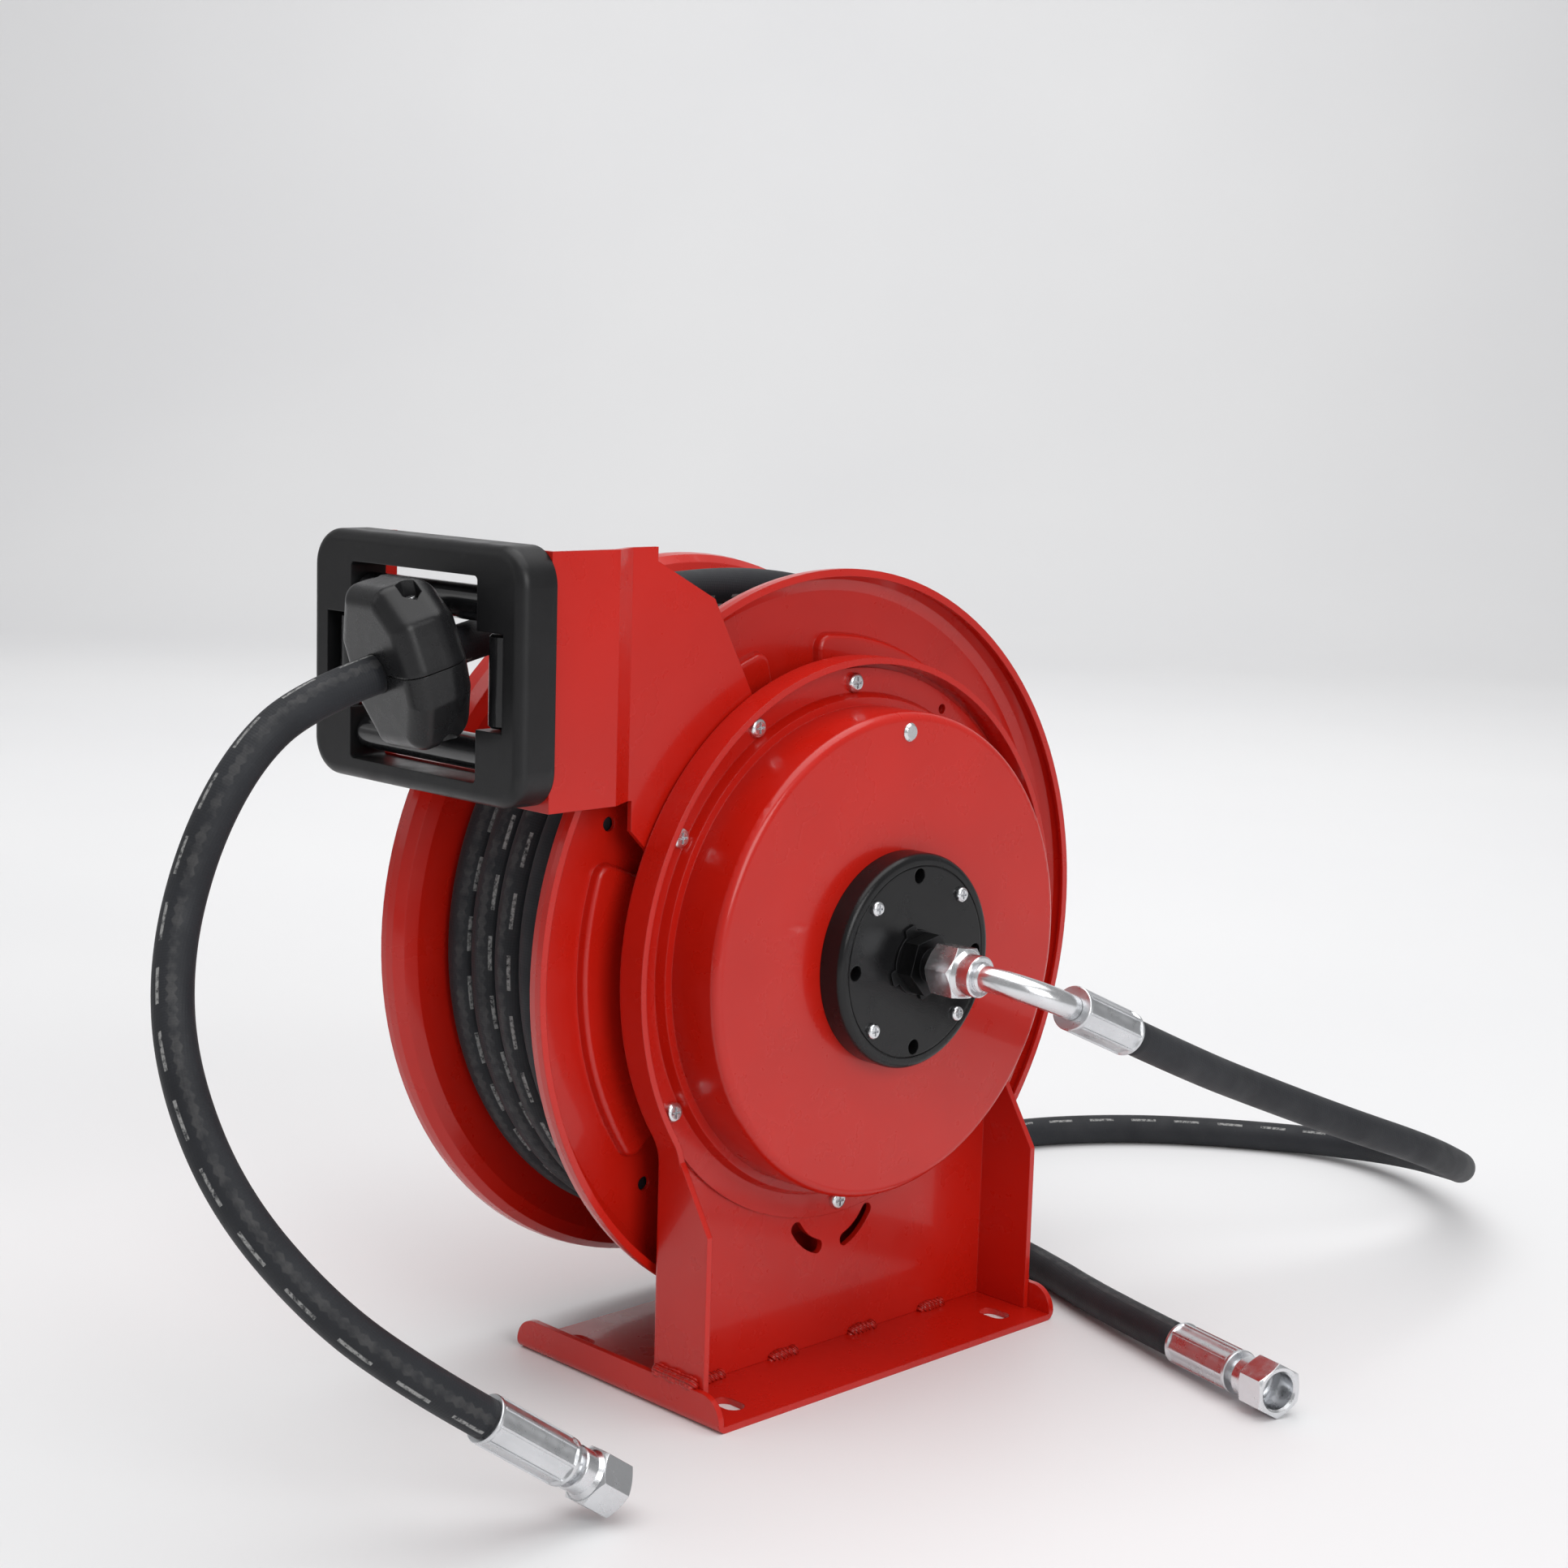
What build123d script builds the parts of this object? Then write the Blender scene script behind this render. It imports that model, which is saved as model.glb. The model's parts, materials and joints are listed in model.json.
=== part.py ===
"""Spring-driven hose reel on a single pedestal.

Frame: millimetres, +Z up.  The origin is the centre of the base's bolt pattern on its
underside.  The reel turns about X, the spring case is on the +X side and the hose
leaves through the roller guide on the -Y side.
"""
import math
import os

from build123d import *

# ---------------------------------------------------------------- driving dimensions
axis_height = 192.0          # reel axis above the floor
sheet = 3.0                  # base and arm sheet

base_length = 136.0          # along X
base_width = 221.4           # along Y, over the lips
lip_height = 15.5
bolt_spacing_x = 100.0
bolt_spacing_y = 176.0
slot_length = 16.0
slot_width = 10.0

arm_back = 21.0              # -X face of the arm sheet
ring_radius = 132.0
rim_depth = 15.3
arm_width = 215.0
arm_flange_edge = 54.5
arm_flange_height = 83.0
arm_flange_top = 112.0

flange_radius = 170.0        # drum side flanges
flange_inner_gap = 83.6      # between the two flanges
drum_centre = -39.0
flange_sheet = 1.8
flange_lip = 13.4
panel_inner = 98.0           # pressed panels of a flange
panel_outer = 140.5
panel_height = 4.2

core_radius = 103.0
hose_radius = 8.2
wrap_pitch = 16.5
wrap_count = 5
outer_layer_radius = 139.6   # hose centreline of the outermost full layer

case_radius = 109.8
case_face = 58.3
case_flange_radius = 126.5
case_screw_radius = 120.0
case_wall = 2.0

shaft_radius = 12.5
bore_radius = 6.0
running_gap = 0.05           # radial clearance of shafts and pins
gap = 0.3                    # clearance between pieces that don't touch

cover_radius = 48.4
cover_face = 70.8

guide_centre_x = -40.0
guide_centre_z = 324.0
guide_width = 143.0
guide_height = 106.0
guide_front = -195.0
guide_back = -177.0
window_width = 86.0
window_low = 280.0
window_high = 364.0
roller_radius = 7.4
roller_axis_y = -185.5
roller_levels = (291.0, 352.0)    # heights of the two level rollers
roller_length = 84.0
upright_offset = 51.0             # upright rollers either side of the guide's centre
upright_level = 322.0
upright_length = 38.0
roller_pin_radius = 2.5

nut_flats = 22.0             # across flats of the three hose nuts
neck_radius = 6.5
thread_radius = 8.3
ferrule_radius = 10.1
ferrule_length = 43.0
neck_length = 4.0
nut_length = 23.0

# routes of the two free hoses, from their exits to their ferrules
outlet_route = [
    (-24.3, -224.1, 323.6),
    (-29, -255.5, 314.4),
    (-29.5, -283, 294),
    (-29, -305, 259),
    (-21.5, -321.5, 218),
    (6, -335.5, 182),
    (33, -331, 139),
    (62, -308.5, 99),
    (83, -279, 71),
    (88, -253, 52),
]
inlet_route = [
    (138, 65.96, 162.63),
    (138, 118.03, 139.45),
    (134, 175, 117),
    (141, 240, 91),
    (146, 310, 65),
    (136, 365, 42),
    (100, 415, 26),
    (50, 445, 16),
    (-5, 448, 9),
    (-55, 420, 8.2),
    (-105, 375, 8.2),
    (-140, 310, 8.2),
    (-140, 240, 8.2),
    (-95, 185, 8.2),
    (-30, 163, 8.2),
    (35, 146, 8.2),
    (91, 123.5, 9.6),
    (146.7, 108, 11),
]
# the held stretch of the outlet hose: ball stop, guide window, over the drum's top
feed_route = [
    (-24.3, -224.1, 323.6),
    (-15.2, -163.3, 341.4),
    (-38, -78, 349),
    (-41, 0, 352),
    (-40, 66, 339),
    (-39, 118, 300),
    (-39, 139, 245),
    (-39, 141, 200),
]

os.makedirs("parts", exist_ok=True)


# ------------------------------------------------------------------ planes and helpers
def reel_plane(x):
    """Plane across the reel axis at x, with local x along +Y and local y along +Z."""
    return Plane(origin=(x, 0, axis_height), x_dir=(0, 1, 0), z_dir=(1, 0, 0))


def on_reel(x, radius, angle):
    """Location on the reel with its Z axis along +X, angle in degrees from +Y to +Z."""
    turn = math.radians(angle)
    y = radius * math.cos(turn)
    z = axis_height + radius * math.sin(turn)
    return Location((x, y, z), (0, 90, 0))


def polar(radius, angle):
    """Point in a plane from its radius and its angle in degrees."""
    turn = math.radians(angle)
    return (radius * math.cos(turn), radius * math.sin(turn))


def turned(plane, *points, mode=Mode.ADD):
    """Revolve an outline of (radius, height) points about a plane's normal."""
    side = Plane(origin=plane.origin, x_dir=plane.x_dir, z_dir=plane.y_dir * -1)
    with BuildSketch(side) as outline:
        with BuildLine():
            Polyline(*points, close=True)
        make_face()
    revolve(outline.sketch, axis=Axis(plane.origin, plane.z_dir), mode=mode)


def save(part, name):
    """Label a finished piece and write its STEP file."""
    part.label = name
    export_step(part, f"parts/{name}.step")


def pan_head_screw(head_radius, head_height, shank_radius, shank_length):
    """Cross-recess screw along +Z with the underside of its head at z = 0."""
    recess_width = head_radius * 0.24
    with BuildPart() as screw:
        Cylinder(head_radius, head_height, align=(Align.CENTER, Align.CENTER, Align.MIN))
        fillet(screw.edges().group_by(Axis.Z)[-1], head_height * 0.6)
        with BuildSketch(Plane.XY.offset(head_height)):
            Rectangle(head_radius * 1.1, recess_width)
            Rectangle(recess_width, head_radius * 1.1)
        extrude(amount=-head_height * 0.55, mode=Mode.SUBTRACT)
        Cylinder(shank_radius, shank_length, align=(Align.CENTER, Align.CENTER, Align.MAX))
    return screw.part


def screw_group(name, places, screw):
    """Write identical screws as one node of separate solids."""
    with BuildPart() as group:
        with Locations(*places):
            add(screw)
    save(group.part, name)


def hose_tube(route, name):
    """Sweep the hose section along straight runs joined by tangent arcs."""
    points = [Vector(*point) for point in route]
    radii = []
    for before, corner, after in zip(points, points[1:], points[2:]):
        run_in = corner - before
        run_out = after - corner
        half_turn = math.radians(run_in.get_angle(run_out) / 2)
        shorter = min(run_in.length, run_out.length)
        radii.append(0.45 * shorter / math.tan(half_turn))
    with BuildPart() as tube:
        with BuildLine() as path:
            FilletPolyline(*points, radius=radii)
        start = Plane(origin=points[0], z_dir=points[1] - points[0])
        with BuildSketch(start):
            Circle(hose_radius)
        sweep(path=path.line)
    expected = math.pi * hose_radius ** 2 * path.wire().length
    print(f"{name}: length {path.wire().length:.1f} mm, volume ratio {tube.part.volume / expected:.4f},"
          f" radii {[round(radius) for radius in radii]}")
    return tube.part


# ---------------------------------------------------------------------------- base
with BuildPart() as base_plate:
    with BuildSketch(Plane.YZ.offset(-base_length / 2)) as base_profile:
        with Locations((0, lip_height / 2)):
            Rectangle(base_width, lip_height)
        with Locations((0, lip_height / 2 + sheet)):
            Rectangle(base_width - 2 * sheet, lip_height, mode=Mode.SUBTRACT)
        fillet(base_profile.vertices().group_by(Axis.Y)[0], 4.5)
    extrude(amount=base_length)
    lip_corners = base_plate.edges().filter_by(Axis.Y).group_by(Axis.Z)[-1]
    fillet(lip_corners, lip_height - sheet - 1)
    with BuildSketch(Plane.XY):
        with GridLocations(bolt_spacing_x, bolt_spacing_y, 2, 2):
            SlotOverall(slot_length, slot_width)
    extrude(amount=sheet + 1, mode=Mode.SUBTRACT)
save(base_plate.part, "base_plate")


# ---------------------------------------------------------------------------- arm
housing_radius = 31.0
smile_height = 76.0          # pair of arc slots low in the arm
smile_radius = 27.0
smile_width = 6.5
smile_slots = ((205, 257), (283, 335))
pawl_pivot = polar(86, 176)
arm_foot = axis_height - sheet - gap * 0.1


def arm_outline(sketch, inset):
    """Draw the ring and pedestal outline, moved inwards by inset."""
    Circle(ring_radius - inset)
    with Locations((0, -arm_foot / 2)):
        Rectangle(arm_width - 2 * inset, arm_foot)
    fillet(sketch.vertices().group_by(Axis.Y)[1], 26 + inset)


with BuildPart() as arm_plate:
    with BuildSketch(reel_plane(arm_back)) as arm_outer:
        arm_outline(arm_outer, 0)
    extrude(amount=rim_depth)
    with BuildSketch(reel_plane(arm_back + sheet)) as arm_inner:
        arm_outline(arm_inner, sheet)
    extrude(amount=rim_depth, mode=Mode.SUBTRACT)
    for side_y in (arm_width / 2, -arm_width / 2 + sheet):
        with BuildSketch(Plane.XZ.offset(-side_y)):
            with BuildLine():
                Polyline(
                    (arm_back, axis_height - arm_foot),
                    (arm_flange_edge, axis_height - arm_foot),
                    (arm_flange_edge, arm_flange_height),
                    (arm_back + rim_depth, arm_flange_top),
                    (arm_back, arm_flange_top),
                    close=True,
                )
            make_face()
        extrude(amount=sheet)
    back_edges = arm_plate.faces().sort_by(Axis.X)[0].outer_wire().edges()
    fillet(back_edges.filter_by(lambda edge: edge.center().Z > 10), 2.5)
    with BuildSketch(reel_plane(arm_back)):
        Circle(housing_radius + gap)
        for angle in (30, 60, 90, 120, 150, 210, 270, 330):
            with Locations(polar(case_screw_radius, angle)):
                Circle(2.3)
        with PolarLocations(42, 4, start_angle=45):
            Circle(3.2)
        with Locations(pawl_pivot):
            Circle(3 + running_gap)
    extrude(amount=sheet, both=True, mode=Mode.SUBTRACT)
    for begin, end in smile_slots:
        smile_plane = Plane(origin=(arm_back, 0, smile_height), x_dir=(0, 1, 0), z_dir=(1, 0, 0))
        with BuildSketch(smile_plane) as smile:
            with BuildLine():
                inner_arc = CenterArc((0, 0), smile_radius - smile_width / 2, begin, end - begin)
                outer_arc = CenterArc((0, 0), smile_radius + smile_width / 2, begin, end - begin)
                Line(inner_arc @ 0, outer_arc @ 0)
                Line(inner_arc @ 1, outer_arc @ 1)
            make_face()
            fillet(smile.vertices(), smile_width / 2 - 0.2)
        extrude(amount=sheet, both=True, mode=Mode.SUBTRACT)
save(arm_plate.part, "arm_plate")

with BuildPart() as weld_beads:
    foot_z = sheet
    for centre_y in (-76, -30, 22, 70):
        with BuildSketch(Plane.XZ.offset(-centre_y - 9)):
            with BuildLine():
                Polyline(
                    (arm_back + sheet, foot_z + gap),
                    (arm_back + sheet + 4, foot_z + gap),
                    (arm_back + sheet, foot_z + 4.5),
                    close=True,
                )
            make_face()
        extrude(amount=18)
    for side_y in (-1, 1):
        with BuildSketch(Plane.XY.offset(lip_height)):
            with Locations((38, side_y * (base_width / 2 - 1.4))):
                Rectangle(28, 2.7)
        extrude(amount=1.8, taper=25)
save(weld_beads.part, "weld_beads")


# ------------------------------------------------------------------- spring case
screw_angles = (30, 90, 120, 150, 210, 270, 330)
seat = arm_back + sheet + 0.1
cover_boss_radius = 22.0

with BuildPart() as spring_case:
    turned(
        reel_plane(0),
        (case_flange_radius, seat),
        (case_flange_radius, seat + case_wall),
        (115.5, seat + case_wall),
        (113.5, seat + 6.5),
        (case_radius, seat + 6.5),
        (case_radius, case_face),
        (cover_boss_radius + gap, case_face),
        (cover_boss_radius + gap, case_face - case_wall),
        (case_radius - case_wall, case_face - case_wall),
        (case_radius - case_wall, seat + 4.5),
        (112, seat + 4.5),
        (113.2, seat),
    )
    case_rims = spring_case.edges().filter_by(GeomType.CIRCLE)
    front_rim = case_rims.filter_by(lambda edge: abs(edge.radius - case_radius) < 0.1).sort_by(Axis.X)[-1]
    fillet(front_rim, 4)
    with BuildSketch(reel_plane(seat)):
        for angle in (30, 60, 90, 120, 150, 210, 270, 330):
            with Locations(polar(case_screw_radius, angle)):
                Circle(2.3)
    extrude(amount=case_wall, mode=Mode.SUBTRACT)
    with BuildSketch(reel_plane(case_face)):
        with Locations(polar(101, 88)):
            Circle(2.6)
        with PolarLocations(38.6, 4, start_angle=45):
            Circle(2.2)
    extrude(amount=-case_wall, mode=Mode.SUBTRACT)
save(spring_case.part, "spring_case")

screw_group(
    "case_screws",
    [on_reel(seat + case_wall, case_screw_radius, angle) for angle in screw_angles],
    pan_head_screw(4.5, 3.0, 2.0, 4.8),
)

with BuildPart() as spring_anchor_rivet:
    anchor = Plane(origin=on_reel(case_face, 101, 88).position, x_dir=(0, 1, 0), z_dir=(1, 0, 0))
    turned(anchor, (0, 1.6), (3.2, 1.6), (4.2, 0.6), (4.2, 0), (2.5, 0), (2.5, -29), (0, -29))
save(spring_anchor_rivet.part, "spring_anchor_rivet")

spring_start = 24.5
spring_pitch = 6.0
spring_turns = 12
spring_strip = 1.4
spring_width = 22.0


def spiral_side(extra):
    """Draw one side of the spring as half-turn arcs and return its two ends."""
    for half in range(2 * spring_turns):
        side = 1 - 2 * (half % 2)
        near = spring_start + extra + spring_pitch * half / 2
        far = near + spring_pitch / 2
        ThreePointArc((side * near, 0), (side * (near - far) / 2, side * (near + far) / 2), (-side * far, 0))
    return (spring_start + extra, 0), (spring_start + extra + spring_pitch * spring_turns, 0)


with BuildPart() as power_spring:
    with BuildSketch(reel_plane(30)):
        with BuildLine():
            inner_ends = spiral_side(0)
            outer_ends = spiral_side(spring_strip)
            Line(inner_ends[0], outer_ends[0])
            Line(inner_ends[1], outer_ends[1])
        make_face()
    extrude(amount=spring_width)
save(power_spring.part, "power_spring")

with BuildPart() as spring_arbor:
    turned(
        reel_plane(0),
        (shaft_radius + running_gap, 29),
        (23, 29),
        (23, 44),
        (20, 44),
        (20, 45.5),
        (shaft_radius + running_gap, 45.5),
    )
    with BuildSketch(reel_plane(29)):
        with Locations((18, 0)):
            Rectangle(12, 2)
    extrude(amount=15, mode=Mode.SUBTRACT)
save(spring_arbor.part, "spring_arbor")

# ------------------------------------------------------ main shaft and its bearings
shaft_left = -88.5
shaft_right = 60.0
union_bore = 8.0

with BuildPart() as main_shaft:
    turned(
        reel_plane(0),
        (bore_radius, shaft_left + 14),
        (bore_radius, 42),
        (union_bore + running_gap, 42),
        (union_bore + running_gap, shaft_right),
        (shaft_radius, shaft_right),
        (shaft_radius, shaft_left + 5),
        (shaft_radius - 1, shaft_left + 5),
        (shaft_radius - 1, shaft_left + 3.5),
        (shaft_radius, shaft_left + 3.5),
        (shaft_radius, shaft_left),
        (0, shaft_left),
        (0, shaft_left + 14),
    )
    with BuildSketch(Plane.XY.offset(axis_height)):
        with Locations((drum_centre, 0)):
            Circle(4.5)
    extrude(amount=shaft_radius + 1, mode=Mode.SUBTRACT)
    with BuildSketch(reel_plane(-72)):
        with Locations((0, -shaft_radius)):
            Rectangle(4.2, 5.2)
    extrude(amount=24, mode=Mode.SUBTRACT)
save(main_shaft.part, "main_shaft")

with BuildPart() as shaft_circlip:
    turned(
        reel_plane(0),
        (shaft_radius - 0.9, shaft_left + 3.7),
        (shaft_radius + 2.5, shaft_left + 3.7),
        (shaft_radius + 2.5, shaft_left + 4.8),
        (shaft_radius - 0.9, shaft_left + 4.8),
    )
    with BuildSketch(reel_plane(shaft_left)):
        with Locations((0, 14)):
            Rectangle(8, 10)
    extrude(amount=8, mode=Mode.SUBTRACT)
save(shaft_circlip.part, "shaft_circlip")

bearing_left = 12.0
bearing_right = 27.0
race_ball_radius = 19.25
ball_radius = 3.2

with BuildPart() as bearing_inner_race:
    turned(
        reel_plane(0),
        (shaft_radius + running_gap, bearing_left),
        (17, bearing_left),
        (17, bearing_right),
        (shaft_radius + running_gap, bearing_right),
    )
    with BuildSketch(Plane(origin=(0, 0, axis_height), x_dir=(1, 0, 0), z_dir=(0, -1, 0))):
        with Locations(((bearing_left + bearing_right) / 2, race_ball_radius)):
            Circle(ball_radius + running_gap)
    revolve(axis=Axis((0, 0, axis_height), (1, 0, 0)), mode=Mode.SUBTRACT)
save(bearing_inner_race.part, "bearing_inner_race")

with BuildPart() as bearing_outer_race:
    turned(
        reel_plane(0),
        (21.5, bearing_left),
        (26, bearing_left),
        (26, bearing_right),
        (21.5, bearing_right),
    )
    with BuildSketch(Plane(origin=(0, 0, axis_height), x_dir=(1, 0, 0), z_dir=(0, -1, 0))):
        with Locations(((bearing_left + bearing_right) / 2, race_ball_radius)):
            Circle(ball_radius + running_gap)
    revolve(axis=Axis((0, 0, axis_height), (1, 0, 0)), mode=Mode.SUBTRACT)
save(bearing_outer_race.part, "bearing_outer_race")

with BuildPart() as bearing_balls:
    ball_x = (bearing_left + bearing_right) / 2
    with Locations(*[on_reel(ball_x, race_ball_radius, 40 * step) for step in range(9)]):
        Sphere(ball_radius)
save(bearing_balls.part, "bearing_balls")

with BuildPart() as bearing_housing:
    turned(
        reel_plane(0),
        (26 + running_gap, bearing_left),
        (housing_radius, bearing_left),
        (housing_radius, arm_back - 3.2),
        (50, arm_back - 3.2),
        (50, arm_back - 0.2),
        (housing_radius, arm_back - 0.2),
        (housing_radius, bearing_right + 1.5),
        (23.5, bearing_right + 1.5),
        (23.5, bearing_right + 0.1),
        (26 + running_gap, bearing_right + 0.1),
    )
    with BuildSketch(reel_plane(arm_back - 4)):
        with PolarLocations(42, 4, start_angle=45):
            Circle(2.6)
    extrude(amount=5, mode=Mode.SUBTRACT)
save(bearing_housing.part, "bearing_housing")

screw_group(
    "housing_screws",
    [on_reel(arm_back + sheet + 0.1, 42, angle) for angle in (45, 135, 225, 315)],
    pan_head_screw(4.6, 3.0, 2.4, 6.0),
)

# --------------------------------------------------------------------- drum
left_face = drum_centre - flange_inner_gap / 2
right_face = drum_centre + flange_inner_gap / 2
panel_gaps = (98.5, 152.5, 224.5, 278.5, 332.5, 404.5)
hub_screw_radius = 40.0


def panel_outline(sketch, begin, end, inset):
    """Draw one ring-sector panel between two angles, moved inwards by inset."""
    with BuildLine() as border:
        first = CenterArc((0, 0), panel_inner + inset, begin, end - begin)
        second = CenterArc((0, 0), panel_outer - inset, begin, end - begin)
        Line(first @ 0, second @ 0)
        Line(first @ 1, second @ 1)
    make_face(border.edges())
    fillet(sketch.vertices(), 7 - inset)


def drum_flange(inner_face, outward, name):
    """Pressed side flange with a rolled lip, pressed panels and two sight holes."""
    skin = inner_face + outward * flange_sheet
    lip_end = inner_face + outward * flange_lip
    with BuildPart() as flange:
        turned(
            reel_plane(0),
            (shaft_radius + 1, inner_face),
            (160, inner_face),
            (166, inner_face + outward * 2),
            (169.4, inner_face + outward * 6),
            (flange_radius, inner_face + outward * 10),
            (flange_radius, lip_end),
            (flange_radius - 3.4, lip_end),
            (flange_radius - 3.4, lip_end - outward * 1.6),
            (flange_radius - flange_sheet, lip_end - outward * 1.6),
            (flange_radius - flange_sheet, inner_face + outward * 9),
            (167.6, inner_face + outward * 6.6),
            (164.6, inner_face + outward * 3.4),
            (159.6, skin),
            (shaft_radius + 1, skin),
        )
        panels = list(zip(panel_gaps, panel_gaps[1:] + (panel_gaps[0] + 360,)))
        for begin, end in panels:
            with BuildSketch(reel_plane(skin)) as raised:
                panel_outline(raised, begin + 6.5, end - 6.5, 0)
            extrude(amount=outward * panel_height, taper=14)
        crest = skin + outward * panel_height
        tops = flange.faces().filter_by(lambda face: abs(face.center().X - crest) < 0.01)
        fillet([edge for top in tops for edge in top.edges()], 2.4)
        for begin, end in panels:
            margin = 6.5 + math.degrees(flange_sheet / panel_outer)
            with BuildSketch(reel_plane(inner_face)) as hollow:
                panel_outline(hollow, begin + margin, end - margin, flange_sheet)
            extrude(amount=outward * panel_height, taper=14, mode=Mode.SUBTRACT)
        with BuildSketch(reel_plane(inner_face)):
            for angle in (152.5, 224.5):
                with Locations(polar(140, angle)):
                    Circle(3.2)
            with PolarLocations(hub_screw_radius, 6):
                Circle(2.9)
        extrude(amount=outward * flange_sheet, mode=Mode.SUBTRACT)
    save(flange.part, name)


drum_flange(right_face, 1, "right_flange")
drum_flange(left_face, -1, "left_flange")

with BuildPart() as drum_core:
    turned(
        reel_plane(0),
        (core_radius - 2, left_face + 0.1),
        (core_radius, left_face + 0.1),
        (core_radius, right_face - 0.1),
        (core_radius - 2, right_face - 0.1),
    )
    with BuildSketch(Plane(origin=(drum_centre, 0, axis_height + 82), x_dir=(1, 0, 0), z_dir=(0, -1, 0))):
        Circle(hose_radius + 2)
    extrude(amount=120, mode=Mode.SUBTRACT)
save(drum_core.part, "drum_core")

with BuildPart() as drum_hub:
    turned(
        reel_plane(0),
        (shaft_radius + running_gap, left_face + 0.1),
        (50, left_face + 0.1),
        (50, left_face + 6),
        (22, left_face + 6),
        (22, right_face - 6),
        (50, right_face - 6),
        (50, right_face - 0.1),
        (shaft_radius + running_gap, right_face - 0.1),
    )
    with BuildSketch(Plane.XY.offset(axis_height)):
        with Locations((drum_centre, 0)):
            Circle(7.5)
    extrude(amount=26, mode=Mode.SUBTRACT)
    with BuildSketch(reel_plane(-72)):
        with Locations((0, -shaft_radius)):
            Rectangle(4.2, 5.2)
    extrude(amount=24, mode=Mode.SUBTRACT)
    for face_x in (left_face + 0.1, right_face - 6):
        with BuildSketch(reel_plane(face_x)):
            with PolarLocations(hub_screw_radius, 6):
                Circle(2.6)
        extrude(amount=5.9, mode=Mode.SUBTRACT)
save(drum_hub.part, "drum_hub")

with BuildPart() as drive_key:
    with BuildSketch(reel_plane(-71.8)):
        with Locations((0, -shaft_radius)):
            Rectangle(4.0, 5.0)
    extrude(amount=23.6)
    fillet(drive_key.edges().filter_by(Axis.X), 0.3)
save(drive_key.part, "drive_key")

tooth_count = 8
ratchet_radius = 62.0
ratchet_left = right_face + flange_sheet + 0.1
ratchet_thickness = 4.0
notch_depth = 7.0

with BuildPart() as ratchet_wheel:
    with BuildSketch(reel_plane(ratchet_left)):
        Circle(ratchet_radius)
        Circle(28, mode=Mode.SUBTRACT)
        for tooth in range(tooth_count):
            notch_angle = 198.5 + tooth * 360 / tooth_count
            with BuildLine():
                Polyline(
                    polar(ratchet_radius + 2, notch_angle),
                    polar(ratchet_radius - notch_depth, notch_angle),
                    polar(ratchet_radius - notch_depth, notch_angle - 14.5),
                    polar(ratchet_radius + 2, notch_angle - 28.5),
                    close=True,
                )
            make_face(mode=Mode.SUBTRACT)
        with PolarLocations(hub_screw_radius, 6):
            Circle(2.9, mode=Mode.SUBTRACT)
    extrude(amount=ratchet_thickness)
save(ratchet_wheel.part, "ratchet_wheel")

right_head = ratchet_left + ratchet_thickness + 0.1
hub_places = [on_reel(right_head, hub_screw_radius, 60 * step) for step in range(6)]
screw_group("hub_screws_right", hub_places, pan_head_screw(4.6, 2.6, 2.4, 11.5))

left_screw = pan_head_screw(4.6, 2.6, 2.4, 7.5)
with BuildPart() as hub_screws_left:
    left_head = left_face - flange_sheet - 0.1
    for step in range(6):
        y, z = polar(hub_screw_radius, 60 * step)
        with Locations(Location((left_head, y, axis_height + z), (0, -90, 0))):
            add(left_screw)
save(hub_screws_left.part, "hub_screws_left")

with BuildPart() as hub_cap:
    turned(
        reel_plane(0),
        (shaft_radius + 5, left_head),
        (28, left_head),
        (28, left_head - 4),
        (24, left_head - 9),
        (0, left_head - 10.5),
        (0, left_head - 8.5),
        (shaft_radius + 5, left_head - 7),
    )
    fillet(hub_cap.edges().filter_by(GeomType.CIRCLE).sort_by(Axis.X)[:2], 1)
save(hub_cap.part, "hub_cap")

with BuildPart() as hub_nipple:
    riser = Plane(origin=(drum_centre, 0, axis_height), x_dir=(1, 0, 0), z_dir=(0, 0, 1))
    turned(riser, (3.2, 9.5), (4.4, 9.5), (4.4, 13.2), (6.5, 13.2), (6.5, 36), (3.2, 36))
save(hub_nipple.part, "hub_nipple")

with BuildPart() as hose_tail:
    with BuildLine() as tail_path:
        FilletPolyline(
            (drum_centre, 0, axis_height + 36.1),
            (drum_centre, 0, axis_height + 78),
            (drum_centre, -46, axis_height + 78),
            radius=36,
        )
    with BuildSketch(Plane.XY.offset(axis_height + 36.1)):
        with Locations((drum_centre, 0)):
            Circle(hose_radius)
    sweep(path=tail_path.line)
save(hose_tail.part, "hose_tail")

with BuildPart() as wound_hose:
    side = Plane(origin=(0, 0, axis_height), x_dir=(1, 0, 0), z_dir=(0, -1, 0))
    first_wrap = drum_centre - wrap_pitch * (wrap_count - 1) / 2
    low = core_radius + gap
    with BuildSketch(side):
        with BuildLine():
            corner = (first_wrap - hose_radius, outer_layer_radius)
            Line((first_wrap - hose_radius, low), corner)
            for wrap in range(wrap_count):
                middle = first_wrap + wrap * wrap_pitch
                if wrap:
                    Line(corner, (middle - hose_radius, outer_layer_radius))
                corner = (middle + hose_radius, outer_layer_radius)
                ThreePointArc(
                    (middle - hose_radius, outer_layer_radius),
                    (middle, outer_layer_radius + hose_radius),
                    corner,
                )
            Line(corner, (corner[0], low))
            Line((corner[0], low), (first_wrap - hose_radius, low))
        make_face()
    revolve(axis=Axis((0, 0, axis_height), (1, 0, 0)))
save(wound_hose.part, "wound_hose")

# ------------------------------------------------------------------ ratchet pawl
pawl_tip = polar(67.5, 196)
pawl_left = ratchet_left + 0.2
pawl_thickness = 3.4

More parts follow.
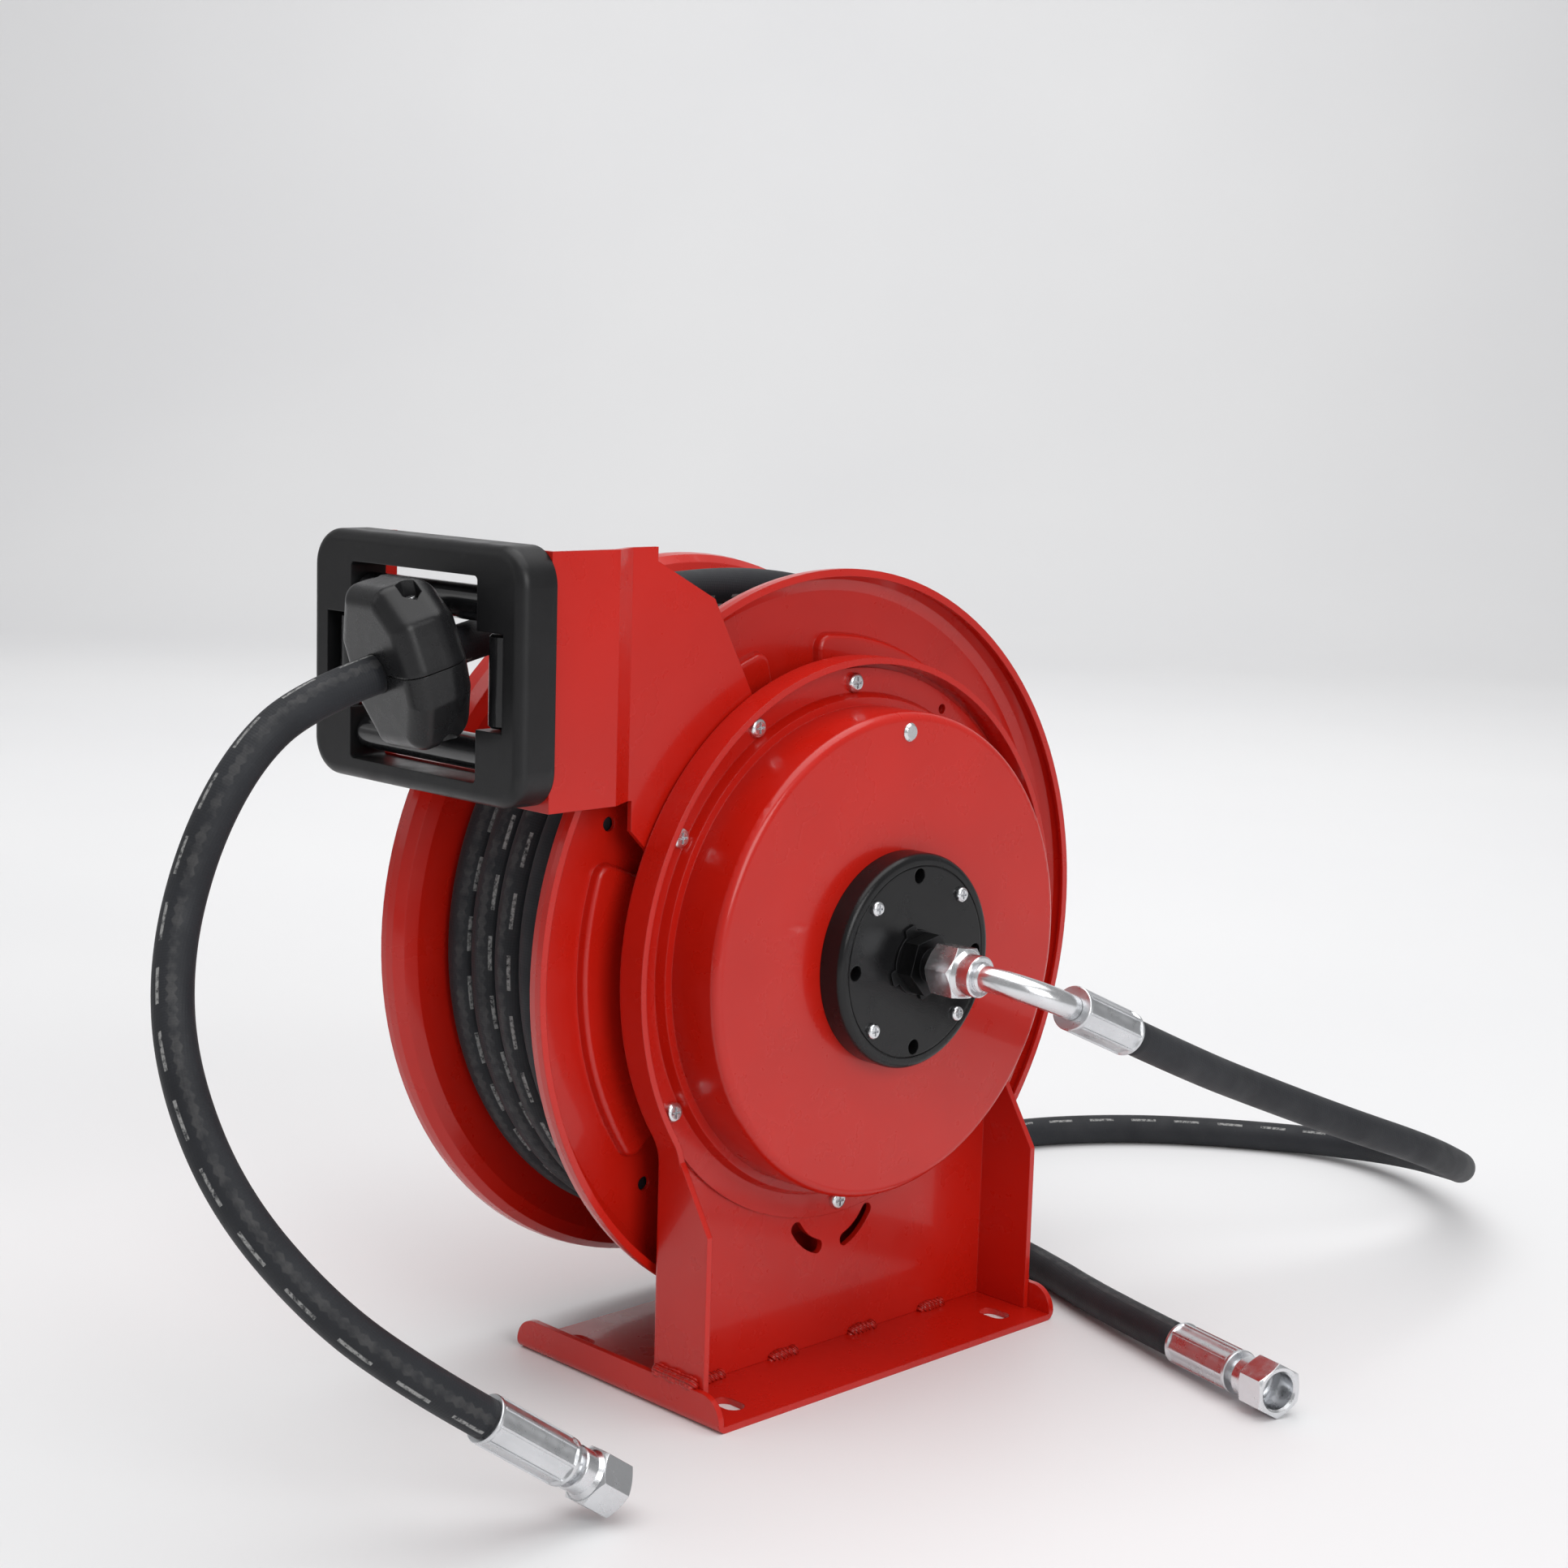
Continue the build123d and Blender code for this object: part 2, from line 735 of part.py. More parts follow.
with BuildPart() as pawl_pin:
    pin_plane = Plane(origin=(0, pawl_pivot[0], axis_height + pawl_pivot[1]), x_dir=(0, 1, 0), z_dir=(1, 0, 0))
    turned(
        pin_plane,
        (0, pawl_left - 0.1),
        (3, pawl_left - 0.1),
        (3, 10),
        (4.5, 10),
        (4.5, arm_back - 0.1),
        (3, arm_back - 0.1),
        (3, arm_back + sheet + 0.9),
        (0, arm_back + sheet + 0.9),
    )
save(pawl_pin.part, "pawl_pin")

with BuildPart() as pawl:
    reach = Vector(pawl_tip[0] - pawl_pivot[0], pawl_tip[1] - pawl_pivot[1]).normalized()
    with BuildSketch(reel_plane(pawl_left)):
        with Locations(pawl_pivot):
            Circle(8)
        with Locations(pawl_tip):
            Circle(3.5)
        with BuildLine():
            Polyline(
                (pawl_pivot[0] - 8 * reach.Y, pawl_pivot[1] + 8 * reach.X),
                (pawl_pivot[0] + 8 * reach.Y, pawl_pivot[1] - 8 * reach.X),
                (pawl_tip[0] + 3.5 * reach.Y, pawl_tip[1] - 3.5 * reach.X),
                (pawl_tip[0] - 3.5 * reach.Y, pawl_tip[1] + 3.5 * reach.X),
                close=True,
            )
        make_face()
        with Locations(pawl_pivot):
            Circle(3 + running_gap, mode=Mode.SUBTRACT)
    extrude(amount=pawl_thickness)
save(pawl.part, "pawl")

# ------------------------------------------------------- bearing cover and inlet union
with BuildPart() as bearing_cover:
    turned(
        reel_plane(0),
        (16 + running_gap, 46.5),
        (cover_boss_radius, 46.5),
        (cover_boss_radius, case_face + 0.1),
        (cover_radius, case_face + 0.1),
        (cover_radius, cover_face),
        (10.2, cover_face),
        (10.2, 60.5),
        (16 + running_gap, 60.5),
    )
    cover_rims = bearing_cover.edges().filter_by(GeomType.CIRCLE)
    outer_rim = cover_rims.filter_by(lambda edge: abs(edge.radius - cover_radius) < 0.1)
    fillet(outer_rim.sort_by(Axis.X)[-1], 3)
    with BuildSketch(reel_plane(cover_face)):
        Circle(43.4)
        Circle(42.8, mode=Mode.SUBTRACT)
    extrude(amount=-0.6, mode=Mode.SUBTRACT)
    with BuildSketch(reel_plane(cover_face)):
        with PolarLocations(38.7, 4):
            Circle(3.4)
        with PolarLocations(38.6, 4, start_angle=45):
            Circle(2.2)
    extrude(amount=-13, mode=Mode.SUBTRACT)
save(bearing_cover.part, "bearing_cover")

screw_group(
    "cover_screws",
    [on_reel(cover_face + 0.1, 38.6, angle) for angle in (45, 135, 225, 315)],
    pan_head_screw(3.4, 2.2, 2.0, 15.5),
)

with BuildPart() as shaft_bush:
    turned(
        reel_plane(0),
        (shaft_radius + running_gap, 46.6),
        (16, 46.6),
        (16, 60.2),
        (shaft_radius + running_gap, 60.2),
    )
save(shaft_bush.part, "shaft_bush")

union_hex_start = 72.2
union_hex_end = 80.0
union_end = 96.0

with BuildPart() as union_body:
    turned(
        reel_plane(0),
        (4, 44),
        (union_bore, 44),
        (union_bore, 47),
        (6.7, 47),
        (6.7, 48.8),
        (union_bore, 48.8),
        (union_bore, 52),
        (6.7, 52),
        (6.7, 53.8),
        (union_bore, 53.8),
        (union_bore, 60.8),
        (9.6, 60.8),
        (9.6, union_hex_start),
        (thread_radius - 0.4, union_hex_start),
        (thread_radius - 0.4, union_end - 3),
        (6.5, union_end),
        (4, union_end),
    )
    with BuildSketch(reel_plane(union_hex_start)):
        RegularPolygon(12, 6, major_radius=False, rotation=12)
        Circle(4, mode=Mode.SUBTRACT)
    extrude(amount=union_hex_end - union_hex_start)
save(union_body.part, "union_body")

with BuildPart() as union_seals:
    for seal_x in (47.9, 52.9):
        with BuildSketch(Plane(origin=(seal_x, 0, axis_height), x_dir=(1, 0, 0), z_dir=(0, -1, 0))):
            with Locations((0, 7.4)):
                Circle(0.55)
        revolve(axis=Axis((0, 0, axis_height), (1, 0, 0)))
save(union_seals.part, "union_seals")

with BuildPart() as lock_washer:
    with BuildSketch(reel_plane(cover_face + 0.1)):
        Circle(14.5)
        with PolarLocations(15, 4, start_angle=20):
            RectangleRounded(5, 7, 1.2)
        Circle(9.9, mode=Mode.SUBTRACT)
    extrude(amount=union_hex_start - cover_face - 0.2)
save(lock_washer.part, "lock_washer")

swivel_start = 86.0


def hose_nut(plane, name, bore, hex_length, turn):
    """Hexagon nut with a coned back; its open end is at the far end of the plane's axis."""
    corner_radius = nut_flats / 2 / math.cos(math.pi / 6)
    back = nut_length - hex_length
    with BuildPart() as nut:
        with BuildSketch(plane.offset(back)):
            RegularPolygon(nut_flats / 2, 6, major_radius=False, rotation=turn)
        extrude(amount=hex_length)
        turned(
            plane,
            (0, back),
            (nut_flats / 2, back),
            (corner_radius, back + 1),
            (corner_radius, nut_length - 0.9),
            (nut_flats / 2 - 0.2, nut_length),
            (0, nut_length),
            mode=Mode.INTERSECT,
        )
        turned(
            plane,
            (0, 0),
            (8.6, 0),
            (9.2, 0.6),
            (9.2, back - 2),
            (10.7, back + 0.4),
            (0, back + 0.4),
        )
        turned(
            plane,
            (0, -1),
            (neck_radius + running_gap, -1),
            (neck_radius + running_gap, 6),
            (bore, 9),
            (bore, nut_length - 1),
            (bore + 1, nut_length + 0.01),
            (0, nut_length + 0.01),
            mode=Mode.SUBTRACT,
        )
    save(nut.part, name)


swivel_plane = Plane(origin=(swivel_start + nut_length, 0, axis_height), x_dir=(0, 1, 0), z_dir=(-1, 0, 0))
hose_nut(swivel_plane, "inlet_swivel_nut", thread_radius, 14, 8)

elbow_radius = 27.0
elbow_start = 111.0
droop = math.radians(24)
elbow_direction = Vector(0, math.cos(droop), -math.sin(droop))
elbow_corner = Vector(elbow_start + elbow_radius, 0, axis_height)
elbow_end = elbow_corner + elbow_direction * (elbow_radius + 2)

with BuildPart() as inlet_tube:
    with BuildLine() as tube_path:
        FilletPolyline(
            (union_end + 0.3, 0, axis_height),
            elbow_corner,
            elbow_end,
            radius=elbow_radius,
        )
    with BuildSketch(reel_plane(union_end + 0.3)):
        Circle(5.7)
    sweep(path=tube_path.line)
    turned(
        reel_plane(0),
        (0, union_end + 0.3),
        (6.2, union_end + 0.3),
        (8.0, union_end + 3.4),
        (neck_radius, union_end + 6),
        (neck_radius, elbow_start - 0.5),
        (5.7, elbow_start + 0.5),
        (0, elbow_start + 0.5),
    )
save(inlet_tube.part, "inlet_tube")


def crimped_ferrule(plane, name, with_neck):
    """Crimped sleeve with eight pressed flats between narrow ridges, mouth at the plane."""
    shell = ferrule_length
    with BuildPart() as ferrule:
        turned(
            plane,
            (0, 0),
            (ferrule_radius - 0.3, 0),
            (ferrule_radius, 0.4),
            (ferrule_radius, 1.6),
            (ferrule_radius - 0.5, 2.4),
            (ferrule_radius - 0.5, shell - 2.6),
            (ferrule_radius, shell - 1.8),
            (ferrule_radius, shell - 0.4),
            (ferrule_radius - 0.4, shell),
            (0, shell),
        )
        with BuildSketch(plane.offset(2)):
            with PolarLocations(ferrule_radius - 0.6, 8):
                Rectangle(1.3, 1.1)
        extrude(amount=shell - 4)
        if with_neck:
            turned(
                plane,
                (0, shell),
                (neck_radius, shell),
                (neck_radius, shell + neck_length + 6.3),
                (6.9, shell + neck_length + 7.3),
                (5.2, shell + neck_length + 8.9),
                (0, shell + neck_length + 8.9),
            )
            turned(
                plane,
                (0, shell + 2),
                (3.4, shell + 2),
                (3.4, shell + neck_length + 10),
                (0, shell + neck_length + 10),
                mode=Mode.SUBTRACT,
            )
    save(ferrule.part, name)


inlet_start_plane = Plane(
    origin=elbow_end + elbow_direction * (ferrule_length + 0.2),
    x_dir=(1, 0, 0),
    z_dir=elbow_direction * -1,
)
crimped_ferrule(inlet_start_plane, "inlet_ferrule", False)


def end_plane(route, x_hint):
    """Plane at a route's last point, along its last run."""
    last = Vector(*route[-1])
    before = Vector(*route[-2])
    return Plane(origin=last, x_dir=x_hint, z_dir=last - before)


inlet_end = end_plane(inlet_route, (0, 0, 1))
outlet_end = end_plane(outlet_route, (1, 0, 0))
crimped_ferrule(inlet_end, "inlet_end_ferrule", True)
crimped_ferrule(outlet_end, "outlet_ferrule", True)
hose_nut(inlet_end.offset(ferrule_length + neck_length), "inlet_end_nut", thread_radius, 15, 0)
hose_nut(outlet_end.offset(ferrule_length + neck_length), "outlet_nut", thread_radius, 15, 0)

# ---------------------------------------------------------------------- hoses
inlet_hose = hose_tube(inlet_route, "inlet hose")
save(inlet_hose, "inlet_hose")
outlet_hose = hose_tube(outlet_route, "outlet hose")
save(outlet_hose, "outlet_hose")

whole_feed = hose_tube(feed_route, "feed hose")
with BuildPart() as feed_hose:
    add(whole_feed)
    with BuildSketch(reel_plane(left_face)):
        Circle(outer_layer_radius + hose_radius + gap)
    extrude(amount=flange_inner_gap, mode=Mode.SUBTRACT)
save(feed_hose.part, "feed_hose")

# ------------------------------------------------------------------ guide bracket
bracket_sheet = 2.5
bracket_x = 25.5             # inner face of the side panel beside the guide
bracket_back = arm_back - 0.2
front_plate = guide_back + 0.1
guide_screw_places = [(side * 58.5, level * 43) for side in (-1, 1) for level in (-1, 1)]

with BuildPart() as guide_bracket:
    with BuildSketch(Plane.XY.offset(269)):
        with BuildLine():
            Polyline(
                (guide_centre_x - guide_width / 2 + 6, front_plate + bracket_sheet + 18),
                (guide_centre_x - guide_width / 2 + 6, front_plate),
                (bracket_x + bracket_sheet, front_plate),
                (bracket_x + bracket_sheet, -141),
                (bracket_back, -128),
                (bracket_back, -60),
                (bracket_back - bracket_sheet, -60),
                (bracket_back - bracket_sheet, -128.8),
                (bracket_x, -141.8),
                (bracket_x, front_plate + bracket_sheet),
                (guide_centre_x - guide_width / 2 + 6 + bracket_sheet, front_plate + bracket_sheet),
                (guide_centre_x - guide_width / 2 + 6 + bracket_sheet, front_plate + bracket_sheet + 18),
                close=True,
            )
        make_face()
    extrude(amount=106)
    with BuildSketch(Plane.YZ.offset(bracket_back - bracket_sheet)):
        with BuildLine():
            Polyline(
                (-126, 256),
                (-126, 375),
                (-114, 369),
                (-81, 352),
                (-54, 310),
                (-50, 296),
                (-62, 262),
                (-100, 228),
                (-117, 247),
                close=True,
            )
        make_face()
    extrude(amount=bracket_sheet)
    with BuildSketch(Plane.YZ.offset(bracket_back - bracket_sheet)):
        with BuildLine():
            Polyline((-114, 369), (-81, 352), (-50, 296), (-50, 380), (-114, 380), close=True)
        make_face()
    extrude(amount=bracket_sheet, mode=Mode.SUBTRACT)
    with BuildSketch(Plane.XZ.offset(-front_plate + 1)):
        with Locations((guide_centre_x, guide_centre_z)):
            RectangleRounded(100, 86, 6)
            for corner_x, corner_z in guide_screw_places:
                with Locations((corner_x, corner_z)):
                    Circle(2.3)
    extrude(amount=-bracket_sheet - 2, mode=Mode.SUBTRACT)
save(guide_bracket.part, "guide_bracket")


screw_group(
    "guide_screws",
    [
        Location((guide_centre_x + x, front_plate + bracket_sheet + 0.1, guide_centre_z + z), (-90, 0, 0))
        for x, z in guide_screw_places
    ],
    pan_head_screw(4.0, 2.6, 2.0, 11.0),
)

# -------------------------------------------------------- guide frame and rollers
guide_plane = Plane(origin=(guide_centre_x, guide_back, guide_centre_z), x_dir=(1, 0, 0), z_dir=(0, -1, 0))
guide_depth = guide_back - guide_front
window_mid = (window_low + window_high) / 2
pin_reach = 6.0

with BuildPart() as guide_frame:
    with BuildSketch(guide_plane):
        RectangleRounded(guide_width, guide_height, 16)
    extrude(amount=guide_depth)
    fillet(guide_frame.faces().sort_by(Axis.Y)[0].edges(), 5)
    with BuildSketch(guide_plane):
        with Locations((0, window_mid - guide_centre_z)):
            RectangleRounded(window_width, window_high - window_low, 2)
        with Locations((0, upright_level - guide_centre_z)):
            Rectangle(2 * upright_offset + 2 * roller_radius + 3, upright_length + 2)
    extrude(amount=guide_depth, mode=Mode.SUBTRACT)
    with BuildSketch(Plane.YZ.offset(guide_centre_x)):
        for level in roller_levels:
            with Locations((roller_axis_y, level)):
                Circle(roller_pin_radius + running_gap)
    extrude(amount=window_width / 2 + pin_reach + gap, both=True, mode=Mode.SUBTRACT)
    with BuildSketch(Plane.XY.offset(upright_level)):
        for side in (-1, 1):
            with Locations((guide_centre_x + side * upright_offset, roller_axis_y)):
                Circle(roller_pin_radius + running_gap)
    extrude(amount=upright_length / 2 + 1 + pin_reach + gap, both=True, mode=Mode.SUBTRACT)
    with BuildSketch(guide_plane):
        for x, z in guide_screw_places:
            with Locations((x, z)):
                Circle(2.1)
    extrude(amount=9, mode=Mode.SUBTRACT)
save(guide_frame.part, "guide_frame")


def roller(plane, length, name):
    """Guide roller with rounded ends and a bore, centred on its plane."""
    with BuildPart() as body:
        turned(
            plane,
            (roller_pin_radius + running_gap, -length / 2),
            (roller_radius - 1, -length / 2),
            (roller_radius, -length / 2 + 1),
            (roller_radius, length / 2 - 1),
            (roller_radius - 1, length / 2),
            (roller_pin_radius + running_gap, length / 2),
        )
    save(body.part, name)


def level_plane(height):
    """Plane across a level roller's axis at the guide's centre."""
    return Plane(origin=(guide_centre_x, roller_axis_y, height), x_dir=(0, 1, 0), z_dir=(1, 0, 0))


def upright_plane(side):
    """Plane across an upright roller's axis on one side of the guide."""
    x = guide_centre_x + side * upright_offset
    return Plane(origin=(x, roller_axis_y, upright_level), x_dir=(1, 0, 0), z_dir=(0, 0, 1))


roller(level_plane(roller_levels[0]), roller_length, "roller_bottom")
roller(level_plane(roller_levels[1]), roller_length, "roller_top")
roller(upright_plane(-1), upright_length, "roller_left")
roller(upright_plane(1), upright_length, "roller_right")

with BuildPart() as roller_pins:
    for level in roller_levels:
        with BuildSketch(level_plane(level)):
            Circle(roller_pin_radius)
        extrude(amount=window_width / 2 + pin_reach, both=True)
    for side in (-1, 1):
        with BuildSketch(upright_plane(side)):
            Circle(roller_pin_radius)
        extrude(amount=upright_length / 2 + 1 + pin_reach, both=True)
save(roller_pins.part, "roller_pins")

# ---------------------------------------------------------------- hose ball stop
ball_depth = 31.0
ball_exit = Vector(*outlet_route[0])
ball_axis = (Vector(*outlet_route[1]) - ball_exit).normalized()
ball_plane = Plane(origin=ball_exit - ball_axis * ball_depth, x_dir=(1, -0.149, 0), z_dir=ball_axis)
ball_outline = [
    (-15, 35),
    (13, 35),
    (27, 21),
    (30, 1),
    (28, -14),
    (17, -33),
    (-15, -35),
    (-28, -15),
    (-29, 13),
]
ball_bolt_offset = 15.0
half_split = 0.4


def ball_half(side, name):
    """One half of the clamp; side is +1 above the split and -1 below it."""
    with BuildPart() as half:
        with BuildSketch(ball_plane):
            with BuildLine():
                Polyline(*ball_outline, close=True)
            make_face()
        extrude(amount=ball_depth)
        fillet(half.edges().filter_by(ball_plane_axis), 6)
        rims = half.faces().sort_by(ball_plane_axis)
        fillet(rims[0].edges(), 14)
        fillet(half.faces().sort_by(ball_plane_axis)[-1].edges(), 8)
        with BuildSketch(ball_plane):
            Circle(hose_radius + running_gap)
        extrude(amount=ball_depth, mode=Mode.SUBTRACT)
        with BuildSketch(ball_plane):
            with Locations((0, side * (half_split / 2 - 50))):
                Rectangle(100, 100)
        extrude(amount=ball_depth, mode=Mode.SUBTRACT)
        bolt_plane = Plane(
            origin=ball_plane.origin + ball_axis * (ball_depth / 2),
            x_dir=ball_plane.x_dir,
            z_dir=ball_plane.y_dir,
        )
        with BuildSketch(bolt_plane):
            with Locations((-ball_bolt_offset, 0), (ball_bolt_offset, 0)):
                Circle(2.3)
        extrude(amount=side * 40, mode=Mode.SUBTRACT)
        with BuildSketch(bolt_plane.offset(side * 24)):
            with Locations((-ball_bolt_offset, 0), (ball_bolt_offset, 0)):
                if side > 0:
                    RegularPolygon(4.3, 6, major_radius=False)
                else:
                    Circle(4.6)
        extrude(amount=side * 16, mode=Mode.SUBTRACT)
    save(half.part, name)


ball_plane_axis = Axis(ball_plane.origin, ball_plane.z_dir)
ball_half(1, "ball_stop_upper")
ball_half(-1, "ball_stop_lower")

clamp_plane = Plane(
    origin=ball_plane.origin + ball_axis * (ball_depth / 2),
    x_dir=ball_plane.x_dir,
    z_dir=ball_plane.y_dir,
)
clamp_places = [
    clamp_plane.offset(-24.1) * Location((side * ball_bolt_offset, 0, 0), (180, 0, 0)) for side in (-1, 1)
]
screw_group("ball_stop_bolts", clamp_places, pan_head_screw(4.0, 2.8, 2.0, 53.0))

with BuildPart() as ball_stop_nuts:
    with BuildSketch(clamp_plane.offset(24.1)):
        with Locations((-ball_bolt_offset, 0), (ball_bolt_offset, 0)):
            RegularPolygon(3.5, 6, major_radius=False)
            Circle(2.05, mode=Mode.SUBTRACT)
    extrude(amount=3.2)
save(ball_stop_nuts.part, "ball_stop_nuts")

# ------------------------------------------------------------- pawl's return spring
with BuildPart() as pawl_spring:
    spring_plane = Plane(origin=pin_plane.origin + Vector(11.2, 0, 0), x_dir=(0, 1, 0), z_dir=(1, 0, 0))
    for turn in range(4):
        wire_centre = spring_plane.origin + Vector(turn * 1.5, 0, 0)
        with BuildSketch(Plane(origin=wire_centre, x_dir=(1, 0, 0), z_dir=(0, -1, 0))):
            with Locations((0, 5.6)):
                Circle(0.6)
        revolve(axis=Axis(spring_plane.origin, (1, 0, 0)))
save(pawl_spring.part, "pawl_spring")
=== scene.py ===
import json
import math

import bmesh
import bpy
import numpy as np
from mathutils import Matrix, Vector


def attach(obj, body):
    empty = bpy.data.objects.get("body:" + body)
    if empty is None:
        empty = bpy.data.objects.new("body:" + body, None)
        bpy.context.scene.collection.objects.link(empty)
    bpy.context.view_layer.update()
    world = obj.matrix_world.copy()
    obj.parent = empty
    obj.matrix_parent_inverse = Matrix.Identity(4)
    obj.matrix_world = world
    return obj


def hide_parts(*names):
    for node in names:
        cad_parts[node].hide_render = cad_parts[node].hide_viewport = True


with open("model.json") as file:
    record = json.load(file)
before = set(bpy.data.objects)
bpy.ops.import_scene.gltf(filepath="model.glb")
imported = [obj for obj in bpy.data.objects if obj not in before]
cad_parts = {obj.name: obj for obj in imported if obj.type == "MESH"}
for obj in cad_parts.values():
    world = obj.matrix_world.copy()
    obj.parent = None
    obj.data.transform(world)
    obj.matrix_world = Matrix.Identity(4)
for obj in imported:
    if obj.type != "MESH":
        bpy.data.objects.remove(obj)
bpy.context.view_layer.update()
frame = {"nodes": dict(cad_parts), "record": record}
nodes = frame["nodes"]

AXIS_Z = 0.192
HOSE_R = 0.0082
CAMERA_SPIN = math.radians(45.24)
FERRULE_BODY_R = 0.0096
RIDGE_R = 0.00985
FERRULE_RIM_R = 0.0101
FERRULE_MIDDLE = 0.0215
RIDGE_REACH = 0.0198
FLAT_DEPTH = 0.036           # share of the radius, taken twice at the middle of a flat
BEAD_R = 0.0031
BEAD_STEP = 0.0027
BEAD_END = 0.003


# ------------------------------------------------------------------ camera
cam_data = bpy.data.cameras.new("camera")
cam_data.lens = 61.09
cam_data.sensor_width = 36.0
cam_data.clip_start = 0.05
cam_data.clip_end = 50.0
camera = bpy.data.objects.new("camera", cam_data)
bpy.context.scene.collection.objects.link(camera)
turn = Matrix.Rotation(CAMERA_SPIN, 4, "Z")
tilt = Matrix.Rotation(math.radians(81.20), 4, "X")
roll = Matrix.Rotation(math.radians(1.74), 4, "Z")
camera.matrix_world = Matrix.Translation((0.8462, -0.8550, 0.4483)) @ turn @ tilt @ roll
bpy.context.scene.camera = camera


# ------------------------------------------------------------------ mesh helpers
def link(obj):
    bpy.context.scene.collection.objects.link(obj)
    return obj


def mesh_object(name, verts, faces, material, uvs=None, smooth=True):
    """An object from vertices, faces and, for each face corner, a uv pair."""
    mesh = bpy.data.meshes.new(name)
    mesh.from_pydata([tuple(v) for v in verts], [], faces)
    if uvs is not None:
        layer = mesh.uv_layers.new(name="UVMap")
        flat = np.array(uvs, np.float32).reshape(-1)
        layer.data.foreach_set("uv", flat)
    if smooth:
        mesh.polygons.foreach_set("use_smooth", [True] * len(mesh.polygons))
    mesh.materials.append(material)
    mesh.update()
    return link(bpy.data.objects.new(name, mesh))


def route_points(points, samples=14):
    """Points along the smooth NURBS line of a route given in metres."""
    data = bpy.data.curves.new("route", "CURVE")
    data.dimensions = "3D"
    data.resolution_u = samples
    spline = data.splines.new("NURBS")
    spline.points.add(len(points) - 1)
    for p, q in zip(spline.points, points):
        p.co = (*q, 1.0)
    spline.order_u = 3
    spline.use_endpoint_u = True
    line = link(bpy.data.objects.new("route", data))
    bpy.context.view_layer.update()
    read = bpy.data.meshes.new_from_object(line)
    found = [v.co.copy() for v in read.vertices]
    bpy.data.meshes.remove(read)
    bpy.data.objects.remove(line)
    bpy.data.curves.remove(data)
    kept = [found[0]]
    for p in found[1:]:
        if (p - kept[-1]).length > 1e-6:
            kept.append(p)
    return kept


def frames_along(points, up):
    """Tangent, side and up vectors carried along a line without twisting."""
    found = []
    side = None
    for i, p in enumerate(points):
        ahead = points[min(i + 1, len(points) - 1)] - points[max(i - 1, 0)]
        ahead.normalize()
        if side is None:
            side = up - ahead * up.dot(ahead)
        else:
            side = side - ahead * side.dot(ahead)
        side.normalize()
        found.append((ahead, side.copy(), ahead.cross(side)))
    return found


def tube(name, points, radius, material, up=Vector((0, 0, 1)), around=36, caps=True, swell=None):
    """A tube mesh with uvs in metres: u round the section from up, v along the line."""
    rings = frames_along(points, up)
    verts, faces, uvs = [], [], []
    run = [0.0]
    for a, b in zip(points, points[1:]):
        run.append(run[-1] + (b - a).length)
    for i, (p, (_, side, other)) in enumerate(zip(points, rings)):
        r = radius if swell is None else swell(run[i], run[-1])
        for k in range(around):
            a = 2 * math.pi * k / around
            verts.append(p + (side * math.cos(a) + other * math.sin(a)) * r)
    step = 2 * math.pi * radius / around
    for i in range(len(points) - 1):
        for k in range(around):
            k2 = (k + 1) % around
            faces.append((i * around + k, i * around + k2, (i + 1) * around + k2, (i + 1) * around + k))
            u0, u1, v0, v1 = k * step, (k + 1) * step, run[i], run[i + 1]
            uvs += [(u0, v0), (u1, v0), (u1, v1), (u0, v1)]
    if caps:
        last = (len(points) - 1) * around
        faces.append(tuple(reversed(range(around))))
        faces.append(tuple(range(last, last + around)))
        uvs += [(0, 0)] * (2 * around)
    return mesh_object(name, verts, faces, material, uvs)


